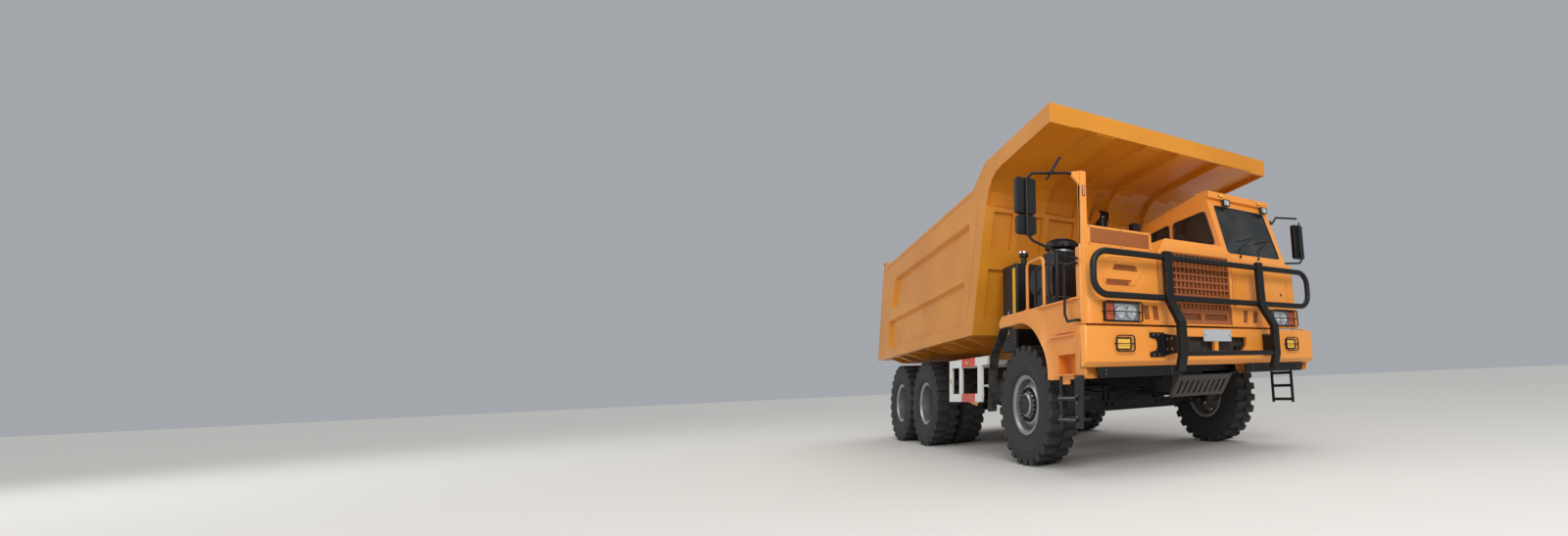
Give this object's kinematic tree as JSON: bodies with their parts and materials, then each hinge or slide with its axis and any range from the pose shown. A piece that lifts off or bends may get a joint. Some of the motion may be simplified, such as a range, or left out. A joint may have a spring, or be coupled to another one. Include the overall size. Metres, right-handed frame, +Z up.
{
  "type": "mining dump truck",
  "caption": "Off-highway dump truck with a half cab, bull bar, canopied tipping body, hanging tailgate, front telescopic hoist, steered front wheels and twin rear wheels.",
  "frame": {"origin": "on the ground under the middle of the overall box", "axes": "+X forward, +Y to the vehicle's left, +Z up"},
  "size_m": [8.482, 4.74, 4.056],
  "materials": {
    "cab_paint": "semi gloss, dusty",
    "body_paint": "semi gloss, worn",
    "black_paint": "satin",
    "white_paint": "semi gloss",
    "mesh_paint": "dusty",
    "rim_paint": "silver, semi gloss",
    "grey_steel": "dull",
    "cast_metal": "rough",
    "polished_rod": "polished",
    "lamp_lens": "clear",
    "amber_lens": "gloss",
    "tinted_glass": "tinted",
    "seat_cloth": "matt",
    "dark_plastic": "matt",
    "tyre_rubber": "matt"
  },
  "bodies": {
    "chassis": {"frame_rails": "black_paint", "crossmembers": "black_paint", "front_axle": "black_paint", "suspension": "black_paint", "rear_axles": "black_paint", "driveline": "grey_steel", "engine": "cast_metal", "radiator": "black_paint", "bumper": "cab_paint", "bull_bar": "black_paint", "valance": "black_paint", "skid_plate": "grey_steel", "headlamps": "lamp_lens", "lamp_guards": "black_paint", "work_lamps": "amber_lens", "hood": "cab_paint", "grille": "mesh_paint", "right_panel": "cab_paint", "deck": "cab_paint", "fender_left": "cab_paint", "steps": "black_paint", "cab_shell": "cab_paint", "cab_glass": "tinted_glass", "seat": "seat_cloth", "dashboard": "dark_plastic", "mirror_post": "cab_paint", "mirrors": "black_paint", "handrails": "black_paint", "air_cleaner": "black_paint", "hydraulic_tank": "black_paint", "fuel_tank": "grey_steel", "side_guards": "white_paint", "mudguards": "dark_plastic", "exhaust": "grey_steel"},
    "cab_door": {"cab_door": "cab_paint", "door_glass": "tinted_glass"},
    "knuckle_left": {"knuckle_left": "cast_metal"},
    "knuckle_right": {"knuckle_right": "cast_metal"},
    "tie_rod": {"tie_rod": "cast_metal"},
    "front_wheel_left": {"front_tyre_left": "tyre_rubber", "front_rim_left": "rim_paint"},
    "front_wheel_right": {"front_tyre_right": "tyre_rubber", "front_rim_right": "rim_paint"},
    "middle_wheels_left": {"middle_tyres_left": "tyre_rubber", "middle_rims_left": "rim_paint"},
    "middle_wheels_right": {"middle_tyres_right": "tyre_rubber", "middle_rims_right": "rim_paint"},
    "rear_wheels_left": {"rear_tyres_left": "tyre_rubber", "rear_rims_left": "rim_paint"},
    "rear_wheels_right": {"rear_tyres_right": "tyre_rubber", "rear_rims_right": "rim_paint"},
    "dump_body": {"tub": "body_paint", "canopy": "body_paint"},
    "tailgate": {"tailgate": "body_paint"},
    "hoist_barrel": {"hoist_barrel": "black_paint"},
    "hoist_stage_1": {"hoist_stage_1": "polished_rod"},
    "hoist_stage_2": {"hoist_stage_2": "polished_rod"},
    "hoist_rod": {"hoist_rod": "polished_rod"}
  },
  "joints": [
    {"name": "steer_left", "type": "hinge", "parent": "chassis", "child": "knuckle_left", "pos_m": [2.305, 1.17, 0.705], "axis": [0, 0, 1], "range_deg": [-32, 32]},
    {"name": "steer_right", "type": "hinge", "parent": "chassis", "child": "knuckle_right", "pos_m": [2.305, -1.17, 0.705], "axis": [0, 0, 1], "range_deg": [-32, 32]},
    {"name": "tie_rod_swing", "type": "hinge", "parent": "knuckle_left", "child": "tie_rod", "pos_m": [2.045, 1.17, 0.567], "axis": [0, 0, 1], "range_deg": [-32, 32]},
    {"name": "roll_front_left", "type": "hinge", "parent": "knuckle_left", "child": "front_wheel_left", "pos_m": [2.305, 1.455, 0.705], "axis": [0, 1, 0], "continuous": true},
    {"name": "roll_front_right", "type": "hinge", "parent": "knuckle_right", "child": "front_wheel_right", "pos_m": [2.305, -1.455, 0.705], "axis": [0, 1, 0], "continuous": true},
    {"name": "roll_middle_left", "type": "hinge", "parent": "chassis", "child": "middle_wheels_left", "pos_m": [-1.495, 1.246, 0.705], "axis": [0, 1, 0], "continuous": true},
    {"name": "roll_middle_right", "type": "hinge", "parent": "chassis", "child": "middle_wheels_right", "pos_m": [-1.495, -1.246, 0.705], "axis": [0, 1, 0], "continuous": true},
    {"name": "roll_rear_left", "type": "hinge", "parent": "chassis", "child": "rear_wheels_left", "pos_m": [-2.995, 1.246, 0.705], "axis": [0, 1, 0], "continuous": true},
    {"name": "roll_rear_right", "type": "hinge", "parent": "chassis", "child": "rear_wheels_right", "pos_m": [-2.995, -1.246, 0.705], "axis": [0, 1, 0], "continuous": true},
    {"name": "door_swing", "type": "hinge", "parent": "chassis", "child": "cab_door", "pos_m": [3.488, 1.618, 2.1], "axis": [0, 0, -1], "range_deg": [0, 70]},
    {"name": "bed_tip", "type": "hinge", "parent": "chassis", "child": "dump_body", "pos_m": [-3.645, 0, 1.3], "axis": [0, -1, 0], "range_deg": [0, 45]},
    {"name": "gate_swing", "type": "hinge", "parent": "dump_body", "child": "tailgate", "pos_m": [-3.845, 0, 3.53], "axis": [0, 1, 0], "range_deg": [0, 55]},
    {"name": "hoist_tilt", "type": "hinge", "parent": "chassis", "child": "hoist_barrel", "pos_m": [1.685, 0, 1.21], "axis": [0, -1, 0], "range_deg": [0, 29.8]},
    {"name": "stage_1_slide", "type": "slide", "parent": "hoist_barrel", "child": "hoist_stage_1", "axis": [0, 0, 1], "range_m": [0, 1.3205]},
    {"name": "stage_2_slide", "type": "slide", "parent": "hoist_stage_1", "child": "hoist_stage_2", "axis": [0, 0, 1], "range_m": [0, 1.3205]},
    {"name": "rod_slide", "type": "slide", "parent": "hoist_stage_2", "child": "hoist_rod", "axis": [0, 0, 1], "range_m": [0, 1.3205]}
  ],
  "couplings": [
    {"joint": "steer_right", "follows": "steer_left", "ratio": 1},
    {"joint": "tie_rod_swing", "follows": "steer_left", "ratio": -1},
    {"joint": "hoist_tilt", "follows": "bed_tip", "ratio": 0.6607},
    {"joint": "stage_1_slide", "follows": "bed_tip", "m_per_rad": 1.681},
    {"joint": "stage_2_slide", "follows": "bed_tip", "m_per_rad": 1.681},
    {"joint": "rod_slide", "follows": "bed_tip", "m_per_rad": 1.681}
  ]
}
